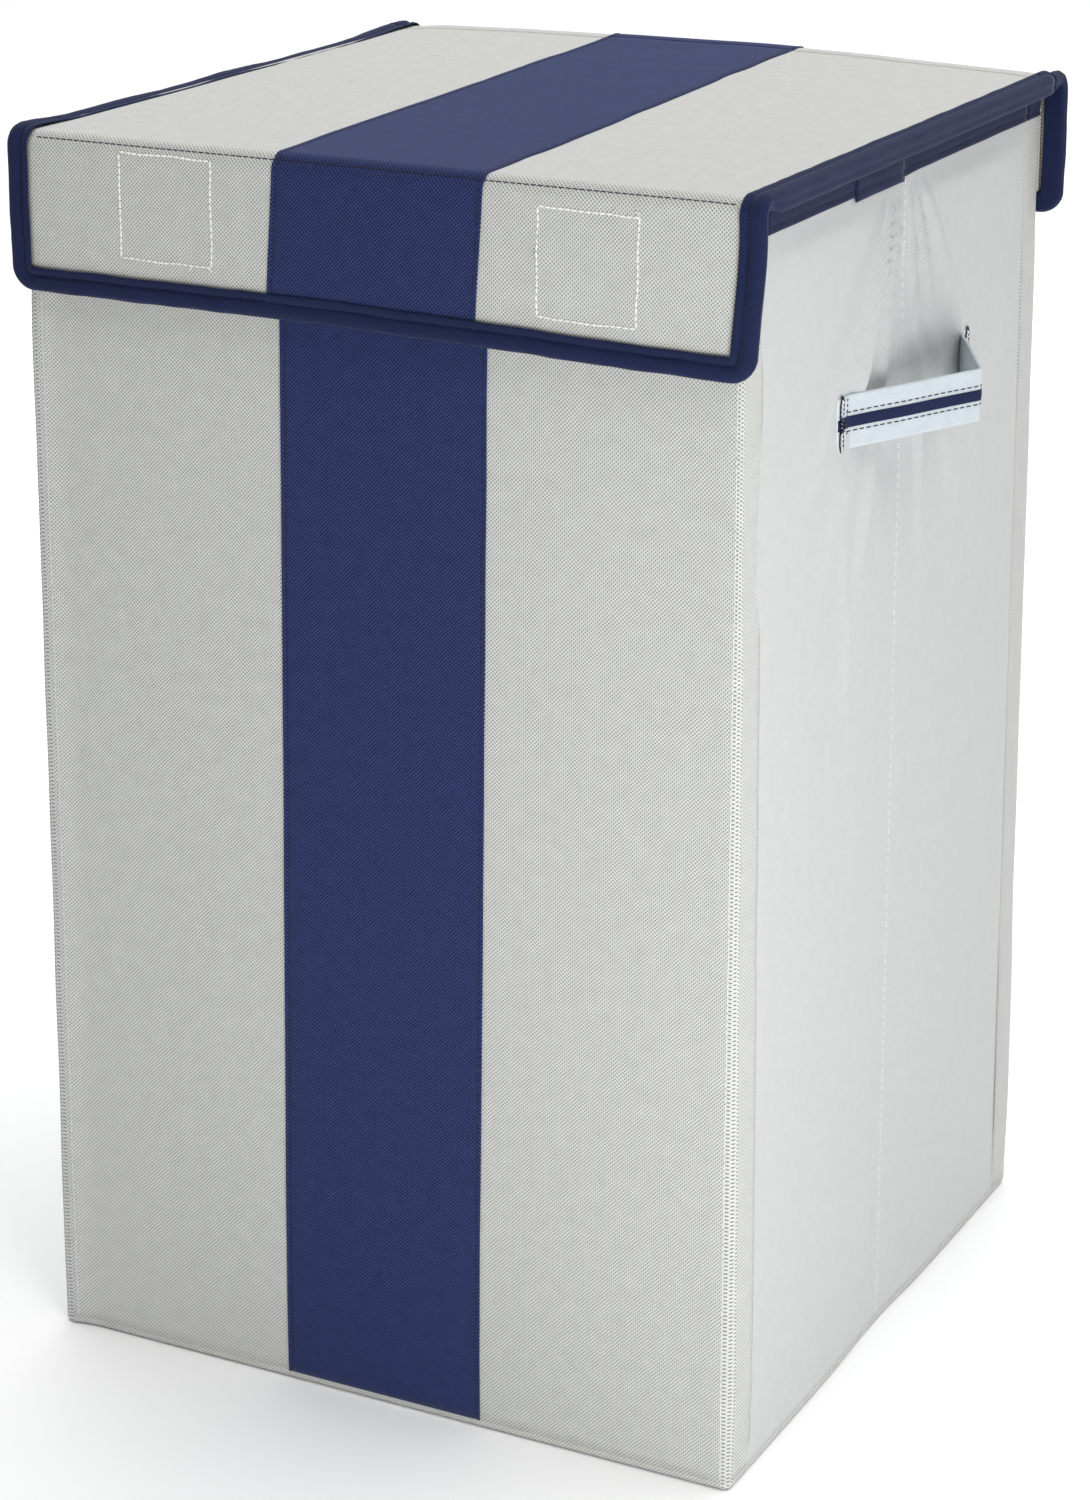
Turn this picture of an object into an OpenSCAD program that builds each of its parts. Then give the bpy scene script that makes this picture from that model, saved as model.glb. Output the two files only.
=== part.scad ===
// Folding laundry hamper with a hinged lid.
// Board panels sit in sewn fabric pockets. The side walls crease down the middle and fold
// inwards, the loose base board lifts against the back wall, and the lid folds open.
// Millimetres. Origin at the bottom centre, +Z up, front towards -Y, right side towards +X.

/* [Overall] */
// Width of the body over its side walls
body_w = 356; // [290:1:450]
// Depth of the body over its front and back walls
body_d = 356; // [290:1:450]
// Height from the ground to the top of the closed lid
hamper_h = 600; // [480:1:760]

/* [Walls] */
// Thickness of the stiffening board in each wall
board_t = 2.5; // [1.5:0.1:4]
// Thickness of the cover fabric
fabric_t = 0.8; // [0.4:0.1:1.2]
// Room between a board and its fabric pocket, on each face
pocket_gap = 0.2; // [0.1:0.05:0.4]
// Gap between wall panels that fold against each other
fold_gap = 0.3; // [0.2:0.05:0.6]

/* [Stripe] */
// Width of the centre stripe
stripe_w = 103; // [60:1:140]
// Thickness of the stripe fabric
stripe_t = 0.6; // [0.3:0.1:1]

/* [Rim binding] */
// Height of the binding round the mouth
rim_h = 12; // [8:1:18]
// Thickness of the binding tape
binding_t = 1; // [0.6:0.1:1.4]

/* [Lid] */
// Thickness of the closed lid panel
lid_t = 7.5; // [6:0.1:10]
// Gap between the rim and the underside of the lid
lid_gap = 0.5; // [0.3:0.1:1]
// Depth of the front and rear flaps, from the top of the lid
flap_drop = 73; // [55:1:95]
// Thickness of the board in a flap
flap_board_t = 1.3; // [0.8:0.1:2]
// Width of the edge binding outside the lid and the flaps
edge_w = 10; // [7:0.5:14]
// Outer radius of the flaps' lower corners
corner_r = 11; // [6:0.5:16]

/* [Closure] */
// Width of a hook or loop square
patch_w = 48.5; // [30:0.5:60]
// Gap between the closure squares and the bindings above and below them
patch_margin = 3; // [2:0.5:6]
// Thickness of hook or loop tape
patch_t = 0.9; // [0.6:0.1:1.2]
// Gap between the hook and the loop squares
closure_gap = 0.6; // [0.4:0.1:1]
// Distance of each square's middle from the centre line
patch_x = 106; // [85:1:115]
// Distance of the hook squares below the top of the lid
patch_drop = 10; // [9:0.5:14]

/* [Handles] */
// Width of the handle webbing
webbing_w = 25; // [18:1:40]
// Thickness of the handle webbing
webbing_t = 1.4; // [1:0.1:2.5]
// Distance between a handle's two sewn ends
handle_span = 148; // [110:1:180]
// How far a handle bows out from its side wall
handle_bow = 35; // [24:1:45]
// Distance of the bend behind the middle crease
handle_bend = 8; // [0:1:20]
// Distance of the handle's middle below the top of the lid
handle_drop = 121; // [95:1:200]
// Width of the tape on the webbing
handle_tape_w = 5; // [3:0.5:8]
// Width of a bar-tack along the handle
tack_w = 9; // [6:0.5:14]

/* [Base] */
// Thickness of the base board
base_board_t = 1.8; // [1.2:0.1:2.6]
// Thickness of the base board's cover
base_cover_t = 0.4; // [0.3:0.1:0.6]
// Thickness of the bottom fabric
bottom_t = 0.6; // [0.4:0.1:1]
// Gap round the base board
base_gap = 0.6; // [0.4:0.1:1.5]

/* [Hidden] */
$fn = 48;

grey = [0.77, 0.78, 0.77];
side_grey = [0.82, 0.83, 0.83];
navy = [0.14, 0.19, 0.40];
board_brown = [0.72, 0.60, 0.44];
webbing_grey = [0.74, 0.80, 0.83];
thread_dark = [0.12, 0.14, 0.20];
tape_white = [0.92, 0.92, 0.90];

cut = 1;                                        // overrun of a cutting shape
wall_t = board_t + 2 * (fabric_t + pocket_gap); // one wall: board in its pocket
base_fit = 0.1;                                 // room between the base board and its cover
base_t = base_board_t + 2 * (base_cover_t + base_fit);
base_z = bottom_t + fold_gap;                   // underside of the covered base board
wall_z = base_z + base_t + fold_gap;            // lower edge of the walls
rim_z = hamper_h - lid_t - lid_gap;             // top of the rim binding
wall_top = rim_z - binding_t;                   // top of the wall panels
rim_low = rim_z - rim_h;                        // lower edge of the rim binding
half_w = body_w / 2;
half_d = body_d / 2;
inner_w = half_w - wall_t;
inner_d = half_d - wall_t;
binding_in = 0.8 * binding_t;                   // binding that stands proud inside

flap_gap = 2 * patch_t + closure_gap;           // between a wall and its flap
flap_t = flap_board_t + 2 * (fabric_t + pocket_gap);
lid_half_d = half_d + flap_gap + flap_t;        // fold line of each flap
flap_low = hamper_h - flap_drop;                // lower edge of a flap's binding
flap_binding_in = binding_t / 2;                // flap binding proud of the inner face

handle_z = hamper_h - handle_drop;
bend_round = 6;                                 // half the length of the rounded bend
handle_tail = 11;                               // sewn length beyond each end of the bow
tack_t = 0.8;                                   // thickness of a bar-tack
tape_t = 0.4;                                   // thickness of the tape on the webbing
tack_low = fold_gap + webbing_t + tape_t + fold_gap; // underside of a bar-tack's bridge

// A plain block from its lowest corner to its highest corner.
module block(low, high) {
    translate(low) cube(high - low);
}

// ---- One wall, in its own frame: outer face on y = 0, thickness towards +y ----

// Fabric pocket from x = a to x = b: two skins joined at both ends and along the bottom.
module wall_pocket(a, b) {
    difference() {
        block([a, 0, wall_z], [b, wall_t, wall_top]);
        block([a + fabric_t, fabric_t, wall_z + fabric_t],
              [b - fabric_t, wall_t - fabric_t, wall_top + cut]);
    }
}

// Stiffening board inside that pocket.
module wall_stiffener(a, b) {
    inset = fabric_t + pocket_gap;
    block([a + inset, inset, wall_z + inset], [b - inset, wall_t - inset, wall_top]);
}

// Folded binding tape over the top edge; its inner flange stops short by inner_short.
module rim_tape(a, b, inner_short) {
    difference() {
        union() {
            block([a, -binding_t, rim_low], [b, wall_t, rim_z]);
            block([a + inner_short, wall_t / 2, rim_low],
                  [b - inner_short, wall_t + binding_in, rim_z]);
        }
        block([a - cut, 0, rim_low - cut], [b + cut, wall_t, wall_top]);
    }
}

// Centre stripe sewn on the outside of a wall, up to the binding.
module wall_stripe() {
    block([-stripe_w / 2, -stripe_t, wall_z], [stripe_w / 2, 0, rim_low]);
}

// The four walls' places. A side wall's x runs along the hamper's depth.
module at_front() { translate([0, -half_d, 0]) children(); }
module at_back() { rotate([0, 0, 180]) at_front() children(); }
module at_right() { rotate([0, 0, 90]) translate([0, -half_w, 0]) children(); }
module at_left() { rotate([0, 0, -90]) translate([0, -half_w, 0]) children(); }

corner_gap = inner_d - fold_gap;                // end of a side panel at a corner
crease_gap = fold_gap / 2;                      // half the gap at the middle crease
inner_stop = wall_t + 2;                        // end flanges stop inside the side walls

module back_cover() { color(grey) at_back() wall_pocket(-half_w, half_w); }
module back_board() { color(board_brown) at_back() wall_stiffener(-half_w, half_w); }
module back_stripe() { color(navy) at_back() wall_stripe(); }
module back_rim_binding() { color(navy) at_back() rim_tape(-half_w, half_w, inner_stop); }

module front_cover() { color(grey) at_front() wall_pocket(-half_w, half_w); }
module front_board() { color(board_brown) at_front() wall_stiffener(-half_w, half_w); }
module front_stripe() { color(navy) at_front() wall_stripe(); }
module front_rim_binding() { color(navy) at_front() rim_tape(-half_w, half_w, inner_stop); }

module right_rear_cover() { color(side_grey) at_right() wall_pocket(crease_gap, corner_gap); }
module right_rear_board() { color(board_brown) at_right() wall_stiffener(crease_gap, corner_gap); }
module right_rear_rim_binding() { color(navy) at_right() rim_tape(crease_gap, corner_gap, 0); }
module right_front_cover() { color(side_grey) at_right() wall_pocket(-corner_gap, -crease_gap); }
module right_front_board() { color(board_brown) at_right() wall_stiffener(-corner_gap, -crease_gap); }
module right_front_rim_binding() { color(navy) at_right() rim_tape(-corner_gap, -crease_gap, 0); }

module left_rear_cover() { color(side_grey) at_left() wall_pocket(-corner_gap, -crease_gap); }
module left_rear_board() { color(board_brown) at_left() wall_stiffener(-corner_gap, -crease_gap); }
module left_rear_rim_binding() { color(navy) at_left() rim_tape(-corner_gap, -crease_gap, 0); }
module left_front_cover() { color(side_grey) at_left() wall_pocket(crease_gap, corner_gap); }
module left_front_board() { color(board_brown) at_left() wall_stiffener(crease_gap, corner_gap); }
module left_front_rim_binding() { color(navy) at_left() rim_tape(crease_gap, corner_gap, 0); }

// ---- Bottom ----

// Bottom fabric with a low rim under the walls, which holds the base board in place.
module bottom_cover() {
    rim_w = wall_t - fold_gap;
    color(grey) difference() {
        block([-half_w, -half_d, 0], [half_w, half_d, wall_z - fold_gap]);
        block([-half_w + rim_w, -half_d + rim_w, bottom_t],
              [half_w - rim_w, half_d - rim_w, wall_z]);
    }
}

base_half_w = inner_w - base_gap;
base_rear = inner_d - fold_gap;                 // the base board lifts about this edge
base_front = -inner_d + base_gap;

// Fabric sleeve round the base board, open at the front edge.
module base_board_cover() {
    color(grey) difference() {
        block([-base_half_w, base_front, base_z], [base_half_w, base_rear, base_z + base_t]);
        block([-base_half_w + base_cover_t, base_front - cut, base_z + base_cover_t],
              [base_half_w - base_cover_t, base_rear - base_cover_t, base_z + base_t - base_cover_t]);
    }
}

module base_board() {
    inset = base_cover_t + base_fit;
    color(board_brown)
        block([-base_half_w + inset, base_front, base_z + inset],
              [base_half_w - inset, base_rear - inset, base_z + inset + base_board_t]);
}

// ---- Flaps, in the front flap's place; the rear flap is the same turned round ----

flap_face = -lid_half_d;                        // outer face of the flap's fabric
flap_back = flap_face + flap_t;                 // inner face of the flap's fabric
flap_fabric_low = flap_low + edge_w;
flap_top = rim_z;

// Two skins folded over the top edge; the other three edges are closed by the binding.
module flap_pocket() {
    difference() {
        block([-half_w, flap_face, flap_fabric_low], [half_w, flap_back, flap_top]);
        block([-half_w - cut, flap_face + fabric_t, flap_fabric_low - cut],
              [half_w + cut, flap_back - fabric_t, flap_top - fabric_t]);
    }
}

module flap_stiffener() {
    inset = fabric_t + pocket_gap;
    block([-half_w, flap_face + inset, flap_fabric_low], [half_w, flap_back - inset, flap_top - inset]);
}

module flap_band() {
    block([-stripe_w / 2, flap_face - stripe_t, flap_fabric_low], [stripe_w / 2, flap_face, flap_top]);
}

// Rounded plate of the whole flap, standing upright.
module flap_plate(face, back) {
    reach = half_w + edge_w;
    rise = flap_top - flap_low;
    translate([0, back, flap_low]) rotate([90, 0, 0]) linear_extrude(back - face) union() {
        translate([-reach + corner_r, 0]) square([2 * (reach - corner_r), rise]);
        translate([-reach, corner_r]) square([2 * reach, rise - corner_r]);
        for (side = [-1, 1])
            translate([side * (reach - corner_r), corner_r]) circle(corner_r);
    }
}

// Binding round the two sides and the lower edge of a flap.
module flap_edge() {
    difference() {
        flap_plate(flap_face - binding_t, flap_back + flap_binding_in);
        block([-half_w, flap_face - binding_t - cut, flap_fabric_low],
              [half_w, flap_back + flap_binding_in + cut, flap_top + cut]);
    }
}

module turned() { rotate([0, 0, 180]) children(); }

module flap_cover() { color(grey) flap_pocket(); }
module flap_board() { color(board_brown) flap_stiffener(); }
module flap_stripe() { color(navy) flap_band(); }
module flap_binding() { color(navy) flap_edge(); }
module rear_flap_cover() { color(grey) turned() flap_pocket(); }
module rear_flap_board() { color(board_brown) turned() flap_stiffener(); }
module rear_flap_stripe() { color(navy) turned() flap_band(); }
module rear_flap_binding() { color(navy) turned() flap_edge(); }

// Tape sewn between the back rim and the rear flap, which carries the lid.
module rear_seam_tape() {
    color(navy) block([-inner_w, half_d + binding_t, rim_low], [inner_w, -flap_back, rim_z]);
}

// A pair of closure squares, from y = face to y = back, with their top at z = top.
module patch_pair(face, back, top) {
    for (side = [-1, 1])
        translate([side * patch_x, 0, 0])
            block([-patch_w / 2, face, patch_low], [patch_w / 2, back, top]);
}

patch_low = flap_fabric_low + patch_margin;     // lower edge of every square

module hook_patches() {
    color(tape_white) patch_pair(flap_back, flap_back + patch_t, hamper_h - patch_drop);
}
module loop_patches() {
    color(tape_white) patch_pair(-half_d - patch_t, -half_d, rim_low - patch_margin);
}

// ---- Lid ----

lid_low = hamper_h - lid_t;

// Fabric sleeve of the lid, open at its two sides, where the binding closes it.
module lid_cover() {
    color(grey) difference() {
        block([-half_w, -lid_half_d, lid_low], [half_w, lid_half_d, hamper_h]);
        block([-half_w - cut, -lid_half_d + fabric_t, lid_low + fabric_t],
              [half_w + cut, lid_half_d - fabric_t, hamper_h - fabric_t]);
    }
}

module lid_board() {
    inset = fabric_t + pocket_gap;
    color(board_brown)
        block([-half_w, -lid_half_d + inset, lid_low + inset],
              [half_w, lid_half_d - inset, hamper_h - inset]);
}

// Stripe over the top of the lid and down its front and rear edges.
module lid_stripe() {
    color(navy) difference() {
        block([-stripe_w / 2, -lid_half_d - stripe_t, lid_low],
              [stripe_w / 2, lid_half_d + stripe_t, hamper_h + stripe_t]);
        block([-stripe_w / 2 - cut, -lid_half_d, lid_low - cut],
              [stripe_w / 2 + cut, lid_half_d, hamper_h]);
    }
}

module lid_edge() {
    block([half_w, -lid_half_d, lid_low], [half_w + edge_w, lid_half_d, hamper_h + stripe_t / 2]);
}
module lid_right_binding() { color(navy) lid_edge(); }
module lid_left_binding() { color(navy) mirror([1, 0, 0]) lid_edge(); }

// ---- Handles, in the side wall's frame: y is negative outside the wall ----

// Inner line of the webbing: sewn tail, run out to the bend, and back to the other tail.
// back is 1 where the hamper's rear lies towards +x of the wall's frame, and -1 elsewhere.
function handle_line(back) = [
    [-handle_span / 2 - handle_tail, fold_gap],
    [-handle_span / 2, fold_gap],
    [back * handle_bend - bend_round, handle_bow * 0.96],
    [back * handle_bend, handle_bow],
    [back * handle_bend + bend_round, handle_bow * 0.96],
    [handle_span / 2, fold_gap],
    [handle_span / 2 + handle_tail, fold_gap]
];
function shifted(line, by) = [for (p = line) [p[0], -p[1] - by]];
function reversed(line) = [for (i = [len(line) - 1:-1:0]) line[i]];

// A strip of the given thickness and height that follows the handle's line.
module handle_strip(back, out, thick, high) {
    line = handle_line(back);
    translate([0, 0, handle_z - high / 2]) linear_extrude(high)
        polygon(concat(shifted(line, out), reversed(shifted(line, out + thick))));
}

// Bar-tack: a bridge of thread over the webbing's sewn end, with a foot above and below.
module handle_tack(end) {
    x = end * (handle_span / 2 + handle_tail / 2);
    reach = webbing_w / 2 + fold_gap;
    foot = 1.2;
    difference() {
        block([x - tack_w / 2, -tack_low - tack_t, handle_z - reach - foot],
              [x + tack_w / 2, 0, handle_z + reach + foot]);
        block([x - tack_w, -tack_low, handle_z - reach], [x + tack_w, cut, handle_z + reach]);
    }
}

module right_handle_webbing() {
    color(webbing_grey) at_right() handle_strip(1, 0, webbing_t, webbing_w);
}
module right_handle_stripe() {
    color(navy) at_right() handle_strip(1, webbing_t, tape_t, handle_tape_w);
}
module right_handle_rear_tack() { color(thread_dark) at_right() handle_tack(1); }
module right_handle_front_tack() { color(thread_dark) at_right() handle_tack(-1); }
module left_handle_webbing() {
    color(webbing_grey) at_left() handle_strip(-1, 0, webbing_t, webbing_w);
}
module left_handle_stripe() {
    color(navy) at_left() handle_strip(-1, webbing_t, tape_t, handle_tape_w);
}
module left_handle_rear_tack() { color(thread_dark) at_left() handle_tack(-1); }
module left_handle_front_tack() { color(thread_dark) at_left() handle_tack(1); }

// ---- The pieces ----

back_cover();
back_board();
back_stripe();
back_rim_binding();
rear_flap_cover();
rear_flap_board();
rear_flap_stripe();
rear_flap_binding();
rear_seam_tape();
bottom_cover();
front_cover();
front_board();
front_stripe();
front_rim_binding();
loop_patches();
right_rear_cover();
right_rear_board();
right_rear_rim_binding();
right_handle_webbing();
right_handle_stripe();
right_handle_rear_tack();
right_front_cover();
right_front_board();
right_front_rim_binding();
right_handle_front_tack();
left_rear_cover();
left_rear_board();
left_rear_rim_binding();
left_handle_webbing();
left_handle_stripe();
left_handle_rear_tack();
left_front_cover();
left_front_board();
left_front_rim_binding();
left_handle_front_tack();
lid_cover();
lid_board();
lid_stripe();
lid_left_binding();
lid_right_binding();
flap_cover();
flap_board();
flap_stripe();
flap_binding();
hook_patches();
base_board();
base_board_cover();
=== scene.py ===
import math
import random

import bmesh
import bpy
from mathutils import Matrix, Vector, noise


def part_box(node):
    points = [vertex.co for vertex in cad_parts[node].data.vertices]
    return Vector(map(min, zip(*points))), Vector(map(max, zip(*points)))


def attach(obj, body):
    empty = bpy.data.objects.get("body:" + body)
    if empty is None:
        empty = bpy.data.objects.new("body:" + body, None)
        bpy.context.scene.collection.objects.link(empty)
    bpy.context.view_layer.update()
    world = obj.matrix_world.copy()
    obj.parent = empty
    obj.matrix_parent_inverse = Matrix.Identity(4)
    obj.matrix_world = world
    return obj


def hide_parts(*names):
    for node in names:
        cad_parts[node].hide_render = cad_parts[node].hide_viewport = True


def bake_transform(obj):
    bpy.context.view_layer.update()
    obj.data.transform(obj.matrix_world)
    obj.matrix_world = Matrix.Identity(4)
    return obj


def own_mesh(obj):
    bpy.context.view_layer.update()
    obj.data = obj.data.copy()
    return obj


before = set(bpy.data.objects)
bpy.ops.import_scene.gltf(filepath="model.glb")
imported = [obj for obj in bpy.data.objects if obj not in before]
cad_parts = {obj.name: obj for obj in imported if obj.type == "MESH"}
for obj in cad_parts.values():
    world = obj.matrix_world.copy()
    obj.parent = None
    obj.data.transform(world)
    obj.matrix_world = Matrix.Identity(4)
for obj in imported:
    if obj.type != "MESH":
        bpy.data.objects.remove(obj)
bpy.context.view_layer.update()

MM = 0.001

# ---------------------------------------------------------------------------
# The view: a camera a little above the lid, at the front right corner, with a long lens.
# The hamper stands on a plain pale floor, in soft light from above and from the front right.

VIEW_PLACE = Vector((0.7943, -1.5618, 0.8953))
VIEW_TURN = math.radians(27.14)
VIEW_DROP = math.radians(16.31)
VIEW_LENS = 89.2
VIEW_SHIFT = -0.14

camera = bpy.data.objects.new("camera", bpy.data.cameras.new("camera"))
bpy.context.scene.collection.objects.link(camera)
bpy.context.scene.camera = camera
ahead = Vector((-math.sin(VIEW_TURN) * math.cos(VIEW_DROP),
                math.cos(VIEW_TURN) * math.cos(VIEW_DROP),
                -math.sin(VIEW_DROP)))
camera.location = VIEW_PLACE
camera.rotation_euler = ahead.to_track_quat("-Z", "Y").to_euler()
camera.data.lens = VIEW_LENS
camera.data.shift_y = VIEW_SHIFT
bpy.context.scene.view_settings.view_transform = "Standard"


def rgb(red, green, blue):
    """A colour given as it looks on a screen, 0 to 255, as the linear colour a shader takes."""
    share = [c / 255 for c in (red, green, blue)]
    return [c / 12.92 if c <= 0.04045 else ((c + 0.055) / 1.055) ** 2.4 for c in share] + [1.0]


def plain_material(name, colour, roughness):
    made = bpy.data.materials.new(name)
    made.use_nodes = True
    shader = made.node_tree.nodes["Principled BSDF"]
    shader.inputs["Base Color"].default_value = colour
    shader.inputs["Roughness"].default_value = roughness
    return made


def in_scene(mesh, name):
    """An object in the scene, made from a drawn mesh."""
    made = bpy.data.objects.new(name, bpy.data.meshes.new(name))
    mesh.to_mesh(made.data)
    mesh.free()
    bpy.context.scene.collection.objects.link(made)
    return made


floor_grid = bmesh.new()
bmesh.ops.create_grid(floor_grid, x_segments=2, y_segments=2, size=12)
floor = in_scene(floor_grid, "floor")
floor.location.z = -0.6 * MM
floor.data.materials.append(plain_material("floor_paint", rgb(252, 252, 252), 0.9))

world = bpy.data.worlds.new("studio")
bpy.context.scene.world = world
world.use_nodes = True
world.node_tree.nodes["Background"].inputs["Color"].default_value = rgb(253, 254, 255)
world.node_tree.nodes["Background"].inputs["Strength"].default_value = 0.21


LIT_POINT = Vector((0, 0, 0.3))


def soft_light(name, place, size, power):
    """A square studio light that faces the middle of the hamper."""
    lamp = bpy.data.lights.new(name, "AREA")
    lamp.size = size
    lamp.energy = power
    holder = bpy.data.objects.new(name, lamp)
    holder.location = place
    holder.rotation_euler = (LIT_POINT - Vector(place)).to_track_quat("-Z", "Y").to_euler()
    bpy.context.scene.collection.objects.link(holder)


soft_light("top_light", (0.0, 1.3, 4.2), 9.0, 460)
soft_light("front_light", (0.78, -0.82, 0.30), 0.4, 5.6)

# ---------------------------------------------------------------------------
# The cloth: light grey non-woven polypropylene, pressed from fibre between rollers that
# leave a fine diagonal lattice of pits. Every sheet is laid from its flat cut size.

WALL_MIN, WALL_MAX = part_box("front_cover")
BODY_HALF_W = WALL_MAX.x
BODY_HALF_D = -WALL_MIN.y
RIM_LOW, RIM_TOP = (corner.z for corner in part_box("front_rim_binding"))
CLOTH_T = 0.8 * MM
SAME_PLACE = 1e-6


def ticks(start, end, step, *close):
    """Places from start to end about a step apart, with more of them round each close place."""
    count = max(1, round((end - start) / step))
    marks = [start + (end - start) * i / count for i in range(count + 1)]
    for place in close:
        marks = [m for m in marks if abs(m - place) > 3.2 * MM or m in (start, end)]
        marks += [place + k * 0.7 * MM for k in range(-4, 5)]
    return [m for m in sorted(set(marks)) if start <= m <= end]


def rounded_line(points, radius, side=1):
    """A flat line through points with rounded corners. Gives place and outward way at a distance."""
    points = [Vector(p) for p in points]
    legs = []
    cut_before = 0.0
    for i in range(1, len(points)):
        run = points[i] - points[i - 1]
        way = run.normalized()
        cut_after = 0.0
        turn = 0.0
        if i < len(points) - 1:
            turn = way.angle_signed(points[i + 1] - points[i]) * -1
            cut_after = radius * math.tan(abs(turn) / 2)
        legs.append((run.length - cut_before - cut_after, points[i - 1] + way * cut_before,
                     way, turn))
        cut_before = cut_after

    def at(distance):
        left = distance
        for length, start, way, turn in legs:
            last = (length, start, way, turn) == legs[-1]
            if left <= length or last:
                return start + way * left, Vector((way.y, -way.x)) * side
            left -= length
            arc = radius * abs(turn)
            if left < arc:
                angle = math.copysign(left / radius, turn)
                inward = Vector((-way.y, way.x)) * math.copysign(1, turn)
                centre = start + way * length + inward * radius
                spun = Matrix.Rotation(angle, 2)
                return centre + spun @ (-inward * radius), spun @ Vector((way.y, -way.x)) * side
            left -= arc

    at.length = sum(leg[0] + radius * abs(leg[3]) for leg in legs)
    return at


def lay_cloth(name, across, along, place, thickness, material, slot_name, closed=False):
    """A sheet laid from a flat grid at its cut size, which stays as its UV map.

    Its thickness goes inwards from its outer face.
    """
    mesh = bmesh.new()
    bmesh.ops.create_grid(mesh, x_segments=len(across) - 1, y_segments=len(along) - 1, size=1)
    cut = mesh.loops.layers.uv.new("cloth")
    flat = {}
    for v in mesh.verts:
        i = round((v.co.x + 1) / 2 * (len(across) - 1))
        j = round((v.co.y + 1) / 2 * (len(along) - 1))
        flat[v] = (across[i], along[j])
    for face in mesh.faces:
        for loop in face.loops:
            loop[cut].uv = flat[loop.vert]
        face.smooth = True
    for v, (a, b) in flat.items():
        v.co = place(a, b)
    if closed:
        bmesh.ops.remove_doubles(mesh, verts=mesh.verts, dist=SAME_PLACE)
    made = in_scene(mesh, name)
    solid = made.modifiers.new("thickness", "SOLIDIFY")
    solid.thickness = thickness
    solid.offset = -1.0
    made.data.materials.append(material)
    return made


def wave(a, b, size, seed):
    """Slow unevenness from -1 to 1 over a cloth, at a size in metres."""
    return noise.noise(Vector((a / size, b / size, seed))) * 1.6


def bump(value, centre, width):
    """1 at the centre, falling to nothing about two widths away."""
    return math.exp(-((value - centre) / width) ** 2)


def ease(value, start, end):
    """0 before start, 1 after end, and smooth between."""
    t = min(1.0, max(0.0, (value - start) / (end - start)))
    return t * t * (3 - 2 * t)


def feed(tree, made, inputs):
    """Sets a shader node's inputs, each to a value or to another node's output."""
    for name, given in inputs.items():
        if isinstance(given, bpy.types.NodeSocket):
            tree.links.new(given, made.inputs[name])
        else:
            made.inputs[name].default_value = given


def add_node(tree, kind, inputs, **settings):
    """Adds a shader node with its settings and inputs."""
    made = tree.nodes.new("ShaderNode" + kind)
    for name, chosen in settings.items():
        setattr(made, name, chosen)
    feed(tree, made, inputs)
    return made


def cloth_material(name, colour, pit_colour, pitch=1.9, depth=0.10, mottle=0.06, sheen=0.2):
    """Pressed non-woven cloth: a lattice of pits across both diagonals, and cloudy fibre."""
    made = plain_material(name, colour, 0.88)
    tree = made.node_tree
    where = add_node(tree, "UVMap", {}, uv_map="cloth").outputs["UV"]
    spaced = add_node(tree, "Mapping", {"Scale": [2 * math.pi / (pitch * MM)] * 3, "Vector": where})
    rows = add_node(tree, "VectorMath", {0: spaced.outputs["Vector"]}, operation="SINE")
    split = add_node(tree, "SeparateXYZ", {"Vector": rows.outputs["Vector"]}).outputs
    lattice = add_node(tree, "Math", {0: split["X"], 1: split["Y"]}, operation="MULTIPLY")
    pits = add_node(tree, "MapRange", {"From Min": 0.0, "From Max": 0.6,
                                       "Value": lattice.outputs["Value"]},
                    interpolation_type="SMOOTHSTEP").outputs["Result"]
    clouds = add_node(tree, "TexNoise", {"Scale": 130, "Detail": 6, "Roughness": 0.72, "Vector": where})
    fibre = add_node(tree, "TexNoise", {"Scale": 1500, "Detail": 2, "Vector": where})
    pitted = add_node(tree, "Mix", {"A": colour, "B": pit_colour, "Factor": pits}, data_type="RGBA")
    shade = add_node(tree, "MapRange", {"From Min": 0.3, "From Max": 0.7, "To Min": 1 - mottle,
                                        "To Max": 1 + mottle, "Value": clouds.outputs["Fac"]})
    clouded = add_node(tree, "VectorMath", {0: pitted.outputs["Result"],
                                            "Scale": shade.outputs["Result"]}, operation="SCALE")
    height = add_node(tree, "Math", {0: pits, 1: -1.0, 2: fibre.outputs["Fac"]},
                      operation="MULTIPLY_ADD")
    relief = add_node(tree, "Bump", {"Strength": 0.8, "Distance": depth * MM,
                                     "Height": height.outputs["Value"]})
    feed(tree, tree.nodes["Principled BSDF"], {
        "Sheen Weight": sheen, "Sheen Roughness": 0.35, "Specular IOR Level": 0.25,
        "Base Color": clouded.outputs["Vector"], "Normal": relief.outputs["Normal"]})
    return made


grey_cloth = cloth_material("grey_cloth", rgb(208, 208, 203), rgb(131, 134, 135))
# The sides are the same grey cloth as the other walls. Their darker colour and fainter lattice are painted
# shade, for how the light falls across the sides.
side_shaded_cloth = cloth_material("side_shaded_cloth", rgb(195, 197, 196), rgb(183, 186, 187),
                            depth=0.04, mottle=0.03)
navy_cloth = cloth_material("navy_cloth", rgb(44, 57, 106), rgb(2, 7, 26),
                            depth=0.16, mottle=0.14, sheen=0.08)
navy_tape = cloth_material("navy_tape", rgb(26, 37, 76), rgb(7, 12, 36),
                           pitch=1.5, mottle=0.12, sheen=0.10)

# ---------------------------------------------------------------------------
# The body's skins: four cloth panels sewn round the boards. The front panel turns the
# right corner and is seamed on the side; each side has one seam down its middle crease.

EDGE_R = 1.6 * MM
WRAP_IN = 0.020
PIVOT_IN = BODY_HALF_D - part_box("right_rear_cover")[1].y + 5 * MM - 0.3 * MM

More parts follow.
